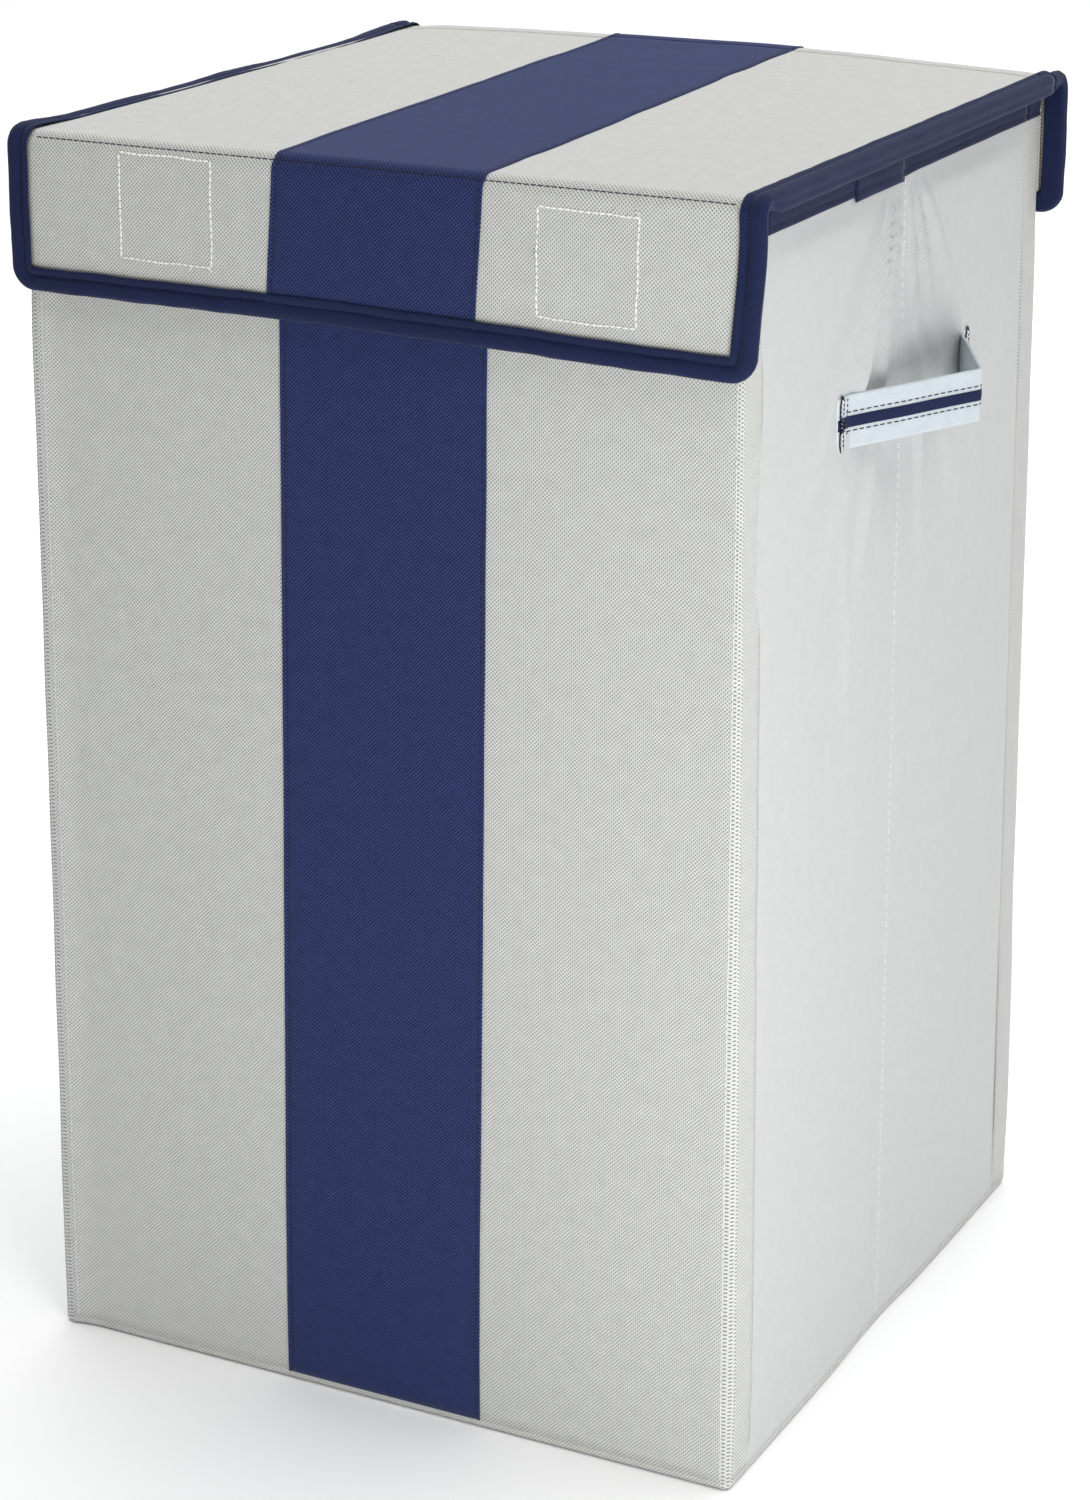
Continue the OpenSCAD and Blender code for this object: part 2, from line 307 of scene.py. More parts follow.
round_body = rounded_line(
    [(-BODY_HALF_W, BODY_HALF_D), (-BODY_HALF_W, -BODY_HALF_D), (BODY_HALF_W, -BODY_HALF_D),
     (BODY_HALF_W, BODY_HALF_D), (-BODY_HALF_W, BODY_HALF_D), (-BODY_HALF_W, 0)], EDGE_R)
CORNER_SAVED = EDGE_R * (2 - math.pi / 2)
LEFT_MIDDLE = BODY_HALF_D
FRONT_LEFT = 2 * BODY_HALF_D - CORNER_SAVED / 2
FRONT_RIGHT = FRONT_LEFT + 2 * BODY_HALF_W - CORNER_SAVED
REAR_RIGHT = FRONT_RIGHT + 2 * BODY_HALF_D - CORNER_SAVED
REAR_LEFT = REAR_RIGHT + 2 * BODY_HALF_W - CORNER_SAVED
BACK_END = REAR_LEFT - 0.014
FRONT_MIDDLE = (FRONT_LEFT + FRONT_RIGHT) / 2
RIGHT_MIDDLE = (FRONT_RIGHT + REAR_RIGHT) / 2
WEB_MIN, WEB_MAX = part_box("right_handle_webbing")
HANDLE_Z = (WEB_MIN.z + WEB_MAX.z) / 2
HANDLE_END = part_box("right_handle_rear_tack")[0].y
SKIN_LOW = WALL_MIN.z - 0.2 * MM
FRONT_SHORT = 8 * MM


CREASE_HOLD = 0.7
CREASE_HALF = 0.04


def on_body(u, z, relief, lift):
    """A place on the body's outer face, raised by a relief and a lift."""
    at, out = round_body(u)
    at = at + out * (relief(u, z) + lift)
    return Vector((at.x, at.y, z))


def spread(z):
    """The soft body stands a little wider at the floor than at its bound rim."""
    return 2.6 * MM * (1 - z / RIM_TOP)


def panel_relief(u, z, seed):
    """The slight slackness of a board-backed panel, which lies flat under the lid's flap."""
    slack = 0.45 * wave(u, z, 0.16, seed) + 0.2 * wave(u, z, 0.05, seed + 3)
    free = ease(z, 0.0, 0.05) * (1 - 0.8 * ease(z, RIM_LOW - 0.08, RIM_LOW - 0.045))
    return (0.15 + (0.5 + slack) * free) * MM + spread(z)


def side_relief(y, z, seed):
    """Folds that the crease pulls into a side: they fan from the rim's middle to the handle."""
    drop = RIM_TOP - z
    slant = math.atan2(y, drop + 0.012)
    fan = 0.0
    for angle, width, height, reach in ((-0.70, 0.050, 3.8, 0.17), (-0.47, 0.034, 5.4, 0.22),
                                        (-0.27, 0.026, 4.6, 0.26), (0.13, 0.024, 3.8, 0.25),
                                        (0.31, 0.030, 4.0, 0.22), (0.56, 0.048, 2.9, 0.16)):
        rise = ease(drop, 0.006, 0.04) * (1 - ease(drop, reach * 0.5, reach))
        fan += height * math.exp(-((slant - angle) / width) ** 2) * rise
    below = 0.0
    for place, height, reach in ((-0.076, 1.6, 0.20), (0.080, 1.0, 0.16), (-0.030, 0.9, 0.24)):
        lower = HANDLE_Z - 0.012 - z
        below += height * bump(y, place + 0.10 * lower, 0.005) * ease(lower, 0.0, 0.02) \
            * (1 - ease(lower, reach * 0.4, reach))
    swell = 1.5 * (1 - bump(y, 0, 0.030)) * (1 - ease(abs(y), 0.10, 0.17))
    slack = 0.6 * wave(y, z, 0.12, seed) + 0.3 * wave(y, z, 0.035, seed + 5)
    at_tack = max(bump(y, FRONT_SHORT - HANDLE_END - 4 * MM, 13 * MM),
                  bump(y, HANDLE_END + 4 * MM, 11 * MM)) * bump(z, HANDLE_Z, 22 * MM)
    free = ease(abs(y), 0.0005, 0.006) * (1 - ease(abs(y), 0.150, 0.158)) * ease(z, 0.0, 0.05) \
        * (1 - 0.95 * ease(z, RIM_LOW - 0.014, RIM_LOW - 0.002)) * (1 - 0.95 * at_tack)
    return (0.15 + free * (0.5 + fan + below + swell + slack)) * MM \
        + spread(z) * (1 - CREASE_HOLD * bump(y, 0, CREASE_HALF))


def fold_side(piece, side_name, x):
    """Bakes a piece's placement into its mesh."""
    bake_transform(piece)


def body_skin(name, start, end, relief, cloth, replaced, close=(), step=5 * MM):
    """A panel of the body from start to end round the body, sewn to the bottom's upturned edge."""
    def place(u, z):
        return on_body(u, z, relief, 0)

    made = lay_cloth(name, ticks(start, end, step, *close), ticks(SKIN_LOW, WALL_MAX.z, step), place,
                     CLOTH_T, *cloth)
    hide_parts(*replaced)
    return made


def left_corner(u, z):
    """The open corner between the front and the left wall stands out a little to the left."""
    side = ease(u, FRONT_LEFT - 0.05, FRONT_LEFT - 0.012) \
        * (1 - ease(u, FRONT_LEFT - 0.003, FRONT_LEFT + 0.012))
    return 2.8 * MM * side * (1 - ease(z, RIM_LOW - 0.06, RIM_LOW - 0.012))


def front_relief(u, z):
    """The front panel, a little raised along the seams inside its two edges."""
    edge = 0.5 * bump(u, FRONT_LEFT + 4 * MM, 1.6 * MM) + 0.35 * bump(u, FRONT_RIGHT - 5 * MM, 2 * MM)
    seam = -0.5 * bump(u, FRONT_RIGHT + WRAP_IN - 1.5 * MM, 1.2 * MM)
    return panel_relief(u, z, 1.7) + (edge + seam) * MM + left_corner(u, z)


def right_relief(u, z):
    return side_relief(u - RIGHT_MIDDLE, z, 4.1)


def left_relief(u, z):
    tuck = 0.5 * MM * ease(u, FRONT_LEFT - 0.014, FRONT_LEFT - 0.010)
    return side_relief(LEFT_MIDDLE - u, z, 9.3) + left_corner(u, z) - tuck


def back_relief(u, z):
    return panel_relief(u, z, 6.2)


def bend_corner(piece):
    """Bakes a piece's placement into its mesh."""
    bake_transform(piece)


LAP = 4 * MM
SIDE_STEP = 2.6 * MM
WALL_CLOTH = (grey_cloth, "grey_fabric")
# The sides' cloth is the grey cloth drawn darker, with painted shade.
SIDE_SHADED_CLOTH = (side_shaded_cloth, "side_fabric")

front_skin = body_skin(
    "front_skin", FRONT_LEFT - PIVOT_IN, FRONT_RIGHT + WRAP_IN, front_relief, WALL_CLOTH,
    ["front_cover"], close=(FRONT_LEFT, FRONT_RIGHT))
bend_corner(front_skin)

right_skin = body_skin(
    "right_skin", FRONT_RIGHT + WRAP_IN - LAP, REAR_RIGHT - WRAP_IN + LAP, right_relief,
    SIDE_SHADED_CLOTH, ["right_front_cover", "right_rear_cover"],
    close=(RIGHT_MIDDLE,), step=SIDE_STEP)
fold_side(right_skin, "right", BODY_HALF_W)

back_skin = body_skin(
    "back_skin", REAR_RIGHT - WRAP_IN, BACK_END, back_relief, WALL_CLOTH,
    ["back_cover"], close=(REAR_RIGHT,))
bend_corner(back_skin)

rear_left_corner = body_skin(
    "rear_left_corner", REAR_LEFT - 0.018, REAR_LEFT + WRAP_IN,
    lambda u, z: back_relief(u, z) + 0.3 * MM, WALL_CLOTH, [], close=(REAR_LEFT,))
bend_corner(rear_left_corner)

left_skin = body_skin(
    "left_skin", WRAP_IN - LAP, FRONT_LEFT - PIVOT_IN + 5 * MM, left_relief,
    SIDE_SHADED_CLOTH, ["left_front_cover", "left_rear_cover"],
    close=(LEFT_MIDDLE,), step=SIDE_STEP)
fold_side(left_skin, "left", -BODY_HALF_W)

# ---------------------------------------------------------------------------
# The sewing thread: short locked stitches, each a small loop of thread that stands a
# little out of the cloth. Seams are sewn in grey, navy or white thread.


def thread_material(name, colour, roughness=0.6):
    """Thread, with fine slanting bands along it where its plies turn."""
    made = plain_material(name, colour, roughness)
    tree = made.node_tree
    where = add_node(tree, "TexCoord", {})
    plies = add_node(tree, "TexWave", {"Scale": 900, "Vector": where.outputs["Object"]},
                     bands_direction="DIAGONAL")
    relief = add_node(tree, "Bump", {"Distance": 0.1 * MM, "Height": plies.outputs["Fac"]})
    feed(tree, tree.nodes["Principled BSDF"], {"Normal": relief.outputs["Normal"]})
    return made


grey_thread = thread_material("grey_thread", rgb(228, 230, 230), 0.7)
navy_thread = thread_material("navy_thread", rgb(14, 18, 48))
white_thread = thread_material("white_thread", rgb(248, 248, 246))


def drawn_thread(name, depth):
    """An empty drawing for thread, depth thick from its middle."""
    rows = bpy.data.curves.new(name, "CURVE")
    rows.dimensions = "3D"
    rows.bevel_depth = depth
    rows.bevel_resolution = 1
    rows.use_fill_caps = True
    return rows


def sew(name, lines, material, stitch=3.0 * MM, gap=0.8 * MM, thick=0.45 * MM):
    """Rows of stitches. Each line gives the thread's place at a distance, its start and its end."""
    rows = drawn_thread(name, thick / 2)
    for place, start, end in lines:
        count = max(1, round((end - start) / (stitch + gap)))
        pitch = (end - start) / count
        for i in range(count):
            first = start + pitch * i + gap / 2
            loop = rows.splines.new("POLY")
            loop.points.add(3)
            for k, (share, fullness) in enumerate(((0.0, 0.45), (0.22, 1.0), (0.78, 1.0), (1.0, 0.45))):
                loop.points[k].co = (*place(first + (pitch - gap) * share), 1)
                loop.points[k].radius = fullness
    return thread_piece(name, rows, material)


def thread_piece(name, rows, material):
    """Turns drawn threads into a smooth closed mesh."""
    drawn = bpy.data.objects.new(name + "_drawn", rows)
    mesh = bmesh.new()
    mesh.from_mesh(bpy.data.meshes.new_from_object(drawn))
    bpy.data.objects.remove(drawn)
    bmesh.ops.remove_doubles(mesh, verts=mesh.verts, dist=SAME_PLACE)
    bmesh.ops.recalc_face_normals(mesh, faces=mesh.faces)
    for face in mesh.faces:
        face.smooth = True
    made = in_scene(mesh, name)
    made.data.materials.append(material)
    return made


SEAM_LOW = 5 * MM
SEAM_TOP = RIM_LOW - 1 * MM
for side_name, middle, relief, side_x in (("right", RIGHT_MIDDLE, right_relief, BODY_HALF_W),
                                          ("left", LEFT_MIDDLE, left_relief, -BODY_HALF_W)):
    crease_seam = sew(
        side_name + "_crease_seam",
        [(lambda z, m=middle, r=relief: on_body(m, z, r, 0.1 * MM), SEAM_LOW, SEAM_TOP)],
        grey_thread, stitch=3.4 * MM, gap=1.4 * MM, thick=0.55 * MM)
    fold_side(crease_seam, side_name, side_x)

wrap_seam = sew(
    "front_wrap_seam",
    [(lambda z: on_body(FRONT_RIGHT + WRAP_IN - 2 * MM, z, front_relief, 0.1 * MM), SEAM_LOW, SEAM_TOP),
     (lambda z: on_body(FRONT_RIGHT - 1.5 * MM, z, front_relief, 0.05 * MM), SEAM_LOW, SEAM_TOP)],
    grey_thread, gap=0.6 * MM)
bend_corner(wrap_seam)
left_edge_seam = sew(
    "left_edge_seam",
    [(lambda z: on_body(FRONT_LEFT + 4 * MM, z, front_relief, 0.05 * MM), SEAM_LOW, SEAM_TOP)],
    grey_thread)
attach(left_edge_seam, "front")

# ---------------------------------------------------------------------------
# The centre stripe: navy cloth laid down the front and the back walls, its edges turned
# under and sewn down with navy thread a little inside each edge.

STRIPE_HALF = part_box("front_stripe")[1].x + 0.8 * MM
STRIPE_T = 0.6 * MM
STITCH_IN = 2.2 * MM
BAND_T = STRIPE_T + 0.3 * MM
BAND_TOP = RIM_LOW + 2 * MM


def stripe_relief(x, base):
    """A stripe's outer face over the cloth under it, fuller at the turned edge, drawn in by thread."""
    from_edge = STRIPE_HALF - abs(x)
    return base + STRIPE_T + (0.25 * bump(from_edge, 0.8 * MM, 1.2 * MM)
                              - 0.3 * bump(from_edge, STITCH_IN, 0.9 * MM)) * MM


def body_drift(z):
    """A hand-laid stripe wanders: how far its middle lies to the right at each height."""
    return 5.5 * MM - 6.0 * MM * ease(z, 0.62, -0.08)


STRIPE_TICKS = ticks(-STRIPE_HALF, STRIPE_HALF, 5 * MM,
                     -STRIPE_HALF + STITCH_IN, STRIPE_HALF - STITCH_IN)

for wall, middle, relief in (("front", FRONT_MIDDLE, front_relief),
                             ("back", (REAR_RIGHT + REAR_LEFT) / 2, back_relief)):
    def on_stripe(x, z, middle=middle, relief=relief, lift=0.0):
        u = middle + x + body_drift(z)
        return on_body(u, z, lambda u, z: stripe_relief(x, relief(u, z)), lift)

    stripe = lay_cloth(wall + "_band", STRIPE_TICKS, ticks(SKIN_LOW, BAND_TOP, 5 * MM), on_stripe,
                       BAND_T, navy_cloth, "navy_fabric")
    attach(stripe, wall)
    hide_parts(wall + "_stripe")
    edge_x = STRIPE_HALF - STITCH_IN
    stripe_seams = sew(
        wall + "_band_seams",
        [(lambda z, x=x, f=on_stripe: f(x, z, lift=0.12 * MM), SEAM_LOW, SEAM_TOP)
         for x in (-edge_x, edge_x)],
        navy_thread)
    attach(stripe_seams, wall)

# ---------------------------------------------------------------------------
# The rim: bias tape folded over the top edges of the four walls and sewn through, with
# one lapped joint on the right side, just in front of the crease.

WALL_T = WALL_MAX.y - WALL_MIN.y
TAPE_T = 0.6 * MM
RIM_OUT = 1.2 * MM
RIM_IN = WALL_T + 0.7 * MM
RIM_SEAM = RIM_LOW + 2.6 * MM


def rim_tape(name, start, end, close, replaced, drop=0.0, proud=0.0):
    """A length of the rim's tape, folded over the wall, from start to end round the body."""
    fold = rounded_line([(RIM_OUT + proud, RIM_LOW - drop), (RIM_OUT + proud, RIM_TOP + proud * 0.3),
                         (-RIM_IN, RIM_TOP + proud * 0.3), (-RIM_IN, RIM_LOW)], 1.6 * MM)

    def place(u, t):
        at, out = round_body(u)
        side, face = fold(t)
        puff = 0.2 * wave(u, t, 0.02, 2.2) - 0.5 * bump(side.y, RIM_SEAM, 1.1 * MM)
        crease = max(bump(u, RIGHT_MIDDLE, 7 * MM), bump(u, LEFT_MIDDLE, 7 * MM))
        side = side + face * puff * MM * (side.x > -2 * MM)
        at = at + out * (side.x - crease * 0.5 * MM * (side.x > 0))
        return Vector((at.x, at.y, side.y - 0.8 * MM * crease))

    made = lay_cloth(name, ticks(start, end, 4 * MM, *close), ticks(0, fold.length, 1.1 * MM), place,
                     TAPE_T, navy_tape, "navy_binding")
    if replaced:
        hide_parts(*(binding + "_rim_binding" for binding in replaced))
    return made


front_rim = rim_tape("front_rim", FRONT_LEFT - PIVOT_IN, FRONT_RIGHT + WRAP_IN,
                     (FRONT_LEFT, FRONT_RIGHT), ["front"])
bend_corner(front_rim)
right_rim = rim_tape("right_rim", FRONT_RIGHT + WRAP_IN, REAR_RIGHT - WRAP_IN,
                     (RIGHT_MIDDLE,), ["right_front", "right_rear"])
fold_side(right_rim, "right", BODY_HALF_W)
back_rim = rim_tape("back_rim", REAR_RIGHT - WRAP_IN, BACK_END, (REAR_RIGHT,), ["back"])
bend_corner(back_rim)
corner_rim = rim_tape("rear_left_rim", BACK_END, REAR_LEFT + WRAP_IN, (REAR_LEFT,), [])
bend_corner(corner_rim)
left_rim = rim_tape("left_rim", WRAP_IN, FRONT_LEFT - PIVOT_IN + 3 * MM,
                    (LEFT_MIDDLE,), ["left_front", "left_rear"])
fold_side(left_rim, "left", -BODY_HALF_W)
rim_lap = rim_tape("rim_lap", RIGHT_MIDDLE - 0.062, RIGHT_MIDDLE - 0.004, (), [],
                   drop=2.2 * MM, proud=0.6 * MM)
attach(rim_lap, "right_front")

RIM_SEAM_LINES = {
    "front": (FRONT_LEFT + 2 * MM, FRONT_RIGHT - 2 * MM),
    "back": (REAR_RIGHT + 2 * MM, REAR_LEFT - 2 * MM),
    "right_front": (FRONT_RIGHT + 8 * MM, RIGHT_MIDDLE - 0.064),
    "right_rear": (RIGHT_MIDDLE + 3 * MM, REAR_RIGHT - 8 * MM),
    "left_rear": (8 * MM, LEFT_MIDDLE - 4 * MM), "left_front": (LEFT_MIDDLE + 4 * MM, FRONT_LEFT - 0.012)}
for body, (start, end) in RIM_SEAM_LINES.items():
    rim_seam = sew(
        body + "_rim_seam",
        [(lambda u: on_body(u, RIM_SEAM, lambda u, z: RIM_OUT - 0.5 * MM, 0.15 * MM), start, end)],
        navy_thread)
    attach(rim_seam, body)

# ---------------------------------------------------------------------------
# The lid: one sheet of cloth makes the front flap, the lid's top and the rear flap, with
# boards inside, and turns over a soft round fold at the front and at the rear.

LID_HALF_W, LID_D, LID_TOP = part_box("lid_cover")[1]
LID_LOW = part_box("lid_cover")[0].z
FLAP_MIN, FLAP_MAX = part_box("flap_cover")
FLAP_LOW = FLAP_MIN.z
FLAP_T = FLAP_MAX.y - FLAP_MIN.y
FOLD_R = 7 * MM
FOLD_ARC = FOLD_R * math.pi / 2

lid_line = rounded_line([(-LID_D, FLAP_LOW), (-LID_D, LID_TOP), (LID_D, LID_TOP), (LID_D, FLAP_LOW)],
                        FOLD_R, side=-1)
FLAP_TOP = LID_TOP - FLAP_LOW - FOLD_R
LID_FRONT = FLAP_TOP + FOLD_ARC
LID_REAR = lid_line.length - LID_FRONT
LID_SPLIT = LID_REAR - 0.012
SIDE_HIDDEN = 3 * MM
REAR_SHORT = 4 * MM
FRONT_STITCH = FLAP_TOP + 5.0 * MM
ASKEW = 1.9 * MM


def lid_relief(x, v):
    """The lid's cloth over its boards: soft waves, and a low crown that is fullest at the rear."""
    inside = max(0.0, 1 - (x / LID_HALF_W) ** 2)
    on_top = ease(v, LID_FRONT, LID_FRONT + 0.05) * (1 - ease(v, LID_REAR - 0.004, LID_REAR + 0.02))
    crown = 3.2 * inside ** 0.8 * ease(v, LID_FRONT + 0.03, LID_REAR) * on_top
    slack = 0.5 + 0.45 * wave(x, v, 0.11, 8.8) + 0.2 * wave(x, v, 0.035, 3.1)
    drawn = 0.8 * on_top * max(0.0, wave(x * 0.35 + v * 0.4, v, 0.045, 5.7))
    hold = ease(LID_HALF_W - abs(x), 0.0, 0.02) * (0.35 + 0.65 * on_top)
    seam = 0.35 * bump(v, FRONT_STITCH, 1.2 * MM)
    pulled = 0.0
    for foot, lean, height in ((0.058, 0.9, 0.9), (0.066, 0.55, 0.7), (0.082, 1.1, 0.5)):
        pulled += height * bump(x, foot + lean * (0.060 - v), 3.0 * MM) * ease(v, 0.006, 0.02) \
            * (1 - ease(v, 0.036, 0.058))
    return (0.2 + crown + hold * (slack + drawn) + pulled - seam) * MM


def askew(x, v):
    """The lid sits a little to the right, and its flap's lower right corner is drawn in."""
    drawn_in = ease(x, 0.10, LID_HALF_W) * (1 - ease(v, -0.012, 0.05))
    return x + ASKEW - 3.8 * MM * drawn_in


def on_lid(x, v, lift=0.0):
    at, out = lid_line(v)
    at = at + out * (lid_relief(x, v) + lift)
    return Vector((askew(x, v), at.x, at.y))


def fold_lid(piece):
    """Bakes a piece's placement into its mesh."""
    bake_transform(piece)


FLAP_PARTS = (("front", -8 * MM, LID_SPLIT),
              ("rear", LID_SPLIT, lid_line.length + SIDE_HIDDEN - REAR_SHORT))
ACROSS_LID = ticks(-LID_HALF_W - SIDE_HIDDEN, LID_HALF_W + SIDE_HIDDEN, 5 * MM)


def fold_ticks(start, end):
    """Rows along the lid's sheet, close together over its two folds."""
    marks = ticks(start, end, 5 * MM)
    for first in (FLAP_TOP, LID_REAR):
        marks = [m for m in marks if not first - 2 * MM < m < first + FOLD_ARC + 2 * MM or m in (start, end)]
        marks += [first - 1 * MM + (FOLD_ARC + 2 * MM) * i / 14 for i in range(15)]
    return [m for m in sorted(marks) if start <= m <= end]


SKIN_COVERS = {"front": ("lid_cover", "flap_cover"), "rear": ("rear_flap_cover",)}
BAND_COVERS = {"front": ("lid_stripe", "flap_stripe"), "rear": ("rear_flap_stripe",)}
for part, start, end in FLAP_PARTS:
    skin = lay_cloth(part + "_lid_skin", ACROSS_LID, fold_ticks(start, end), on_lid,
                     CLOTH_T, *WALL_CLOTH)
    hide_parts(*SKIN_COVERS[part])
    fold_lid(skin)


def lid_drift(v):
    """Where the stripe's middle lies on the lid's sheet, which was laid by hand."""
    on_flap = -0.3 * MM + 4.8 * MM * ease(v, -0.02, FLAP_TOP + 0.02)
    over_top = 4.5 * MM - 9.0 * MM * (v - LID_FRONT) / (LID_REAR - LID_FRONT)
    return on_flap if v < LID_FRONT else over_top


def on_lid_stripe(x, v, lift=0.0):
    at = x + lid_drift(v)
    return on_lid(at, v, stripe_relief(x, 0) + lift)


for part, start, end in FLAP_PARTS:
    stripe = lay_cloth(part + "_lid_band", STRIPE_TICKS, fold_ticks(start, end), on_lid_stripe,
                       BAND_T, navy_cloth, "navy_fabric")
    seams = sew(part + "_lid_band_seams",
                [(lambda v, x=x: on_lid_stripe(x, v, 0.12 * MM), max(start, 0) + 1 * MM, end)
                 for x in (STITCH_IN - STRIPE_HALF, STRIPE_HALF - STITCH_IN)],
                navy_thread)
    for piece in (stripe, seams):
        fold_lid(piece)
    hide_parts(*BAND_COVERS[part])


def over_stripe(x, v):
    """The lift of a thread that crosses the sheet and climbs over its stripe."""
    return (STRIPE_T + 0.1 * MM) * (1 - ease(abs(x - lid_drift(v)), STRIPE_HALF - 0.5 * MM, STRIPE_HALF))


fold_stitches = sew(
    "front_fold_seam",
    [(lambda x: on_lid(x, FRONT_STITCH, over_stripe(x, FRONT_STITCH) + 0.1 * MM),
      4 * MM - LID_HALF_W, LID_HALF_W - 4 * MM)],
    navy_thread, stitch=2.8 * MM, gap=0.5 * MM, thick=0.5 * MM)
fold_lid(fold_stitches)

# ---------------------------------------------------------------------------
# The lid's binding: bias tape folded over the whole edge of the lid's sheet and sewn
# through. It stands out beyond the body and is rounded at the flaps' lower corners.

TAPE_W = 10 * MM
TAPE_CORNER = 11 * MM
TAPE_UP = 1.0 * MM
TAPE_SEAM = -7.0 * MM

REAR_EDGE = lid_line.length + TAPE_W - REAR_SHORT
edge_line = rounded_line(
    [(-LID_HALF_W - TAPE_W, LID_SPLIT), (-LID_HALF_W - TAPE_W, -TAPE_W), (LID_HALF_W + TAPE_W, -TAPE_W),
     (LID_HALF_W + TAPE_W, REAR_EDGE), (-LID_HALF_W - TAPE_W, REAR_EDGE),
     (-LID_HALF_W - TAPE_W, LID_SPLIT)], TAPE_CORNER)
FRONT_TAPE = LID_SPLIT + TAPE_W + 2 * (LID_HALF_W + TAPE_W) - 2 * (2 - math.pi / 2) * TAPE_CORNER \
    + LID_SPLIT + TAPE_W


def tape_depth(v):
    """How far the tape reaches down behind the sheet: deep at the lid's board, thin on the flaps."""
    on_top = ease(v, LID_FRONT, LID_FRONT + 0.014) * (1 - ease(v, LID_REAR - 0.014, LID_REAR))
    return FLAP_T + 0.4 * MM + (LID_TOP - LID_LOW - FLAP_T - 0.5 * MM) * on_top


def on_tape(s, across, up, lift=0.0):
    """A place on the tape: s along the edge, across from the edge (inwards is less), up from the sheet."""
    at, out = edge_line(s)
    at = at + out * (across + 0.3 * MM * wave(s, 0, 0.03, 7.7))
    at.y -= 4.5 * MM * ease(at.x, -0.05, 0.19) * (1 - ease(at.y, 0.0, 0.05))
    face, way = lid_line(at.y)
    on_top = ease(at.y, LID_FRONT, LID_FRONT + 0.04) \
        * (1 - ease(at.y, LID_REAR - 0.07, LID_REAR - 0.01))
    sunk = on_top * ease(-at.x, LID_HALF_W - 0.02, LID_HALF_W) \
        * (1 + 0.35 * wave(at.y, 0, 0.05, 3.3)) * ease(up, -4.5 * MM, -0.5 * MM)
    seat = face + way * (up + lift + 0.2 * MM - 1.5 * MM * sunk)
    return Vector((askew(at.x, at.y) + 2.6 * MM * sunk, seat.x, seat.y))


def tape_section(v):
    deep = tape_depth(v)
    return rounded_line([(-TAPE_W - 0.7 * MM, TAPE_UP), (0, TAPE_UP), (0, -deep), (-TAPE_W, -deep)],
                        1.9 * MM, side=-1), deep


SECTION_ROWS = 26


def tape_ring(s, share):
    """The tape's section: a thin inner ridge, the sewn channel, a fuller outer ridge, and the underside."""
    edge = edge_line(s)[0]
    section, deep = tape_section(edge.y)
    side, face = section(section.length * share)
    ridge = 0.5 * bump(side.x, -9.3 * MM, 1.1 * MM) - 1.1 * bump(side.x, TAPE_SEAM, 0.9 * MM) \
        + 0.95 * bump(side.x, -3.2 * MM, 2.4 * MM) + 0.22 * wave(s, share, 0.012, 1.3)
    line = -0.5 * bump(side.y, -deep * 0.55, 0.8 * MM) * (side.x > -0.5 * MM)
    side = side + face * MM * (ridge * (side.y > -1 * MM) + line)
    return on_tape(s, side.x, side.y)


def edge_tape(name, start, end, rear, *replaced):
    """A length of the lid's tape, with more rows where the lid's sheet folds."""
    reach = 4 * MM
    marks = ticks(start, end, reach)
    fine = [m for m in marks for v in [edge_line(m)[0].y]
            if v < reach or v > lid_line.length - reach
            or FLAP_TOP - reach < v < LID_FRONT + reach
            or LID_REAR - reach < v < LID_REAR + FOLD_ARC + reach]
    marks = sorted(set(marks + [m + k * MM for m in fine for k in (1, 2, 3)]))
    marks = [m for m in marks if start <= m <= end]
    rows = [i / SECTION_ROWS for i in range(SECTION_ROWS + 1)]
    made = lay_cloth(name, marks, rows, tape_ring, TAPE_T, navy_tape, "navy_binding")
    for corner in made.data.uv_layers["cloth"].data:
        corner.uv.y *= 2.6 * TAPE_W
    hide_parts(*replaced)
    fold_lid(made)


def edge_seam(name, start, end):
    """The row of stitches along a length of the lid's tape."""
    seam = sew(name, [(lambda s: on_tape(s, TAPE_SEAM, TAPE_UP - 1.1 * MM, 0.25 * MM), start, end)],
               navy_thread)
    fold_lid(seam)


edge_tape("lid_tape", 0, FRONT_TAPE, False, "lid_left_binding", "lid_right_binding", "flap_binding")
edge_tape("rear_tape", FRONT_TAPE, edge_line.length, True, "rear_flap_binding")
edge_seam("lid_tape_seam", 0, FRONT_TAPE)
edge_seam("rear_tape_seam", FRONT_TAPE, edge_line.length)

# ---------------------------------------------------------------------------
# The closure's squares: on the flap each hook square is sewn on from behind, so that a
# square of white lock stitches shows on its face. Loose thread ends were left at two corners.

SQUARES = ((-104.8 * MM, 33.5 * MM, 0.2, 1, -1), (106.2 * MM, 27.8 * MM, -0.6, 1, 1))
SQUARE_HALF = 24.0 * MM
FLAP_LIFT = 0.05 * MM

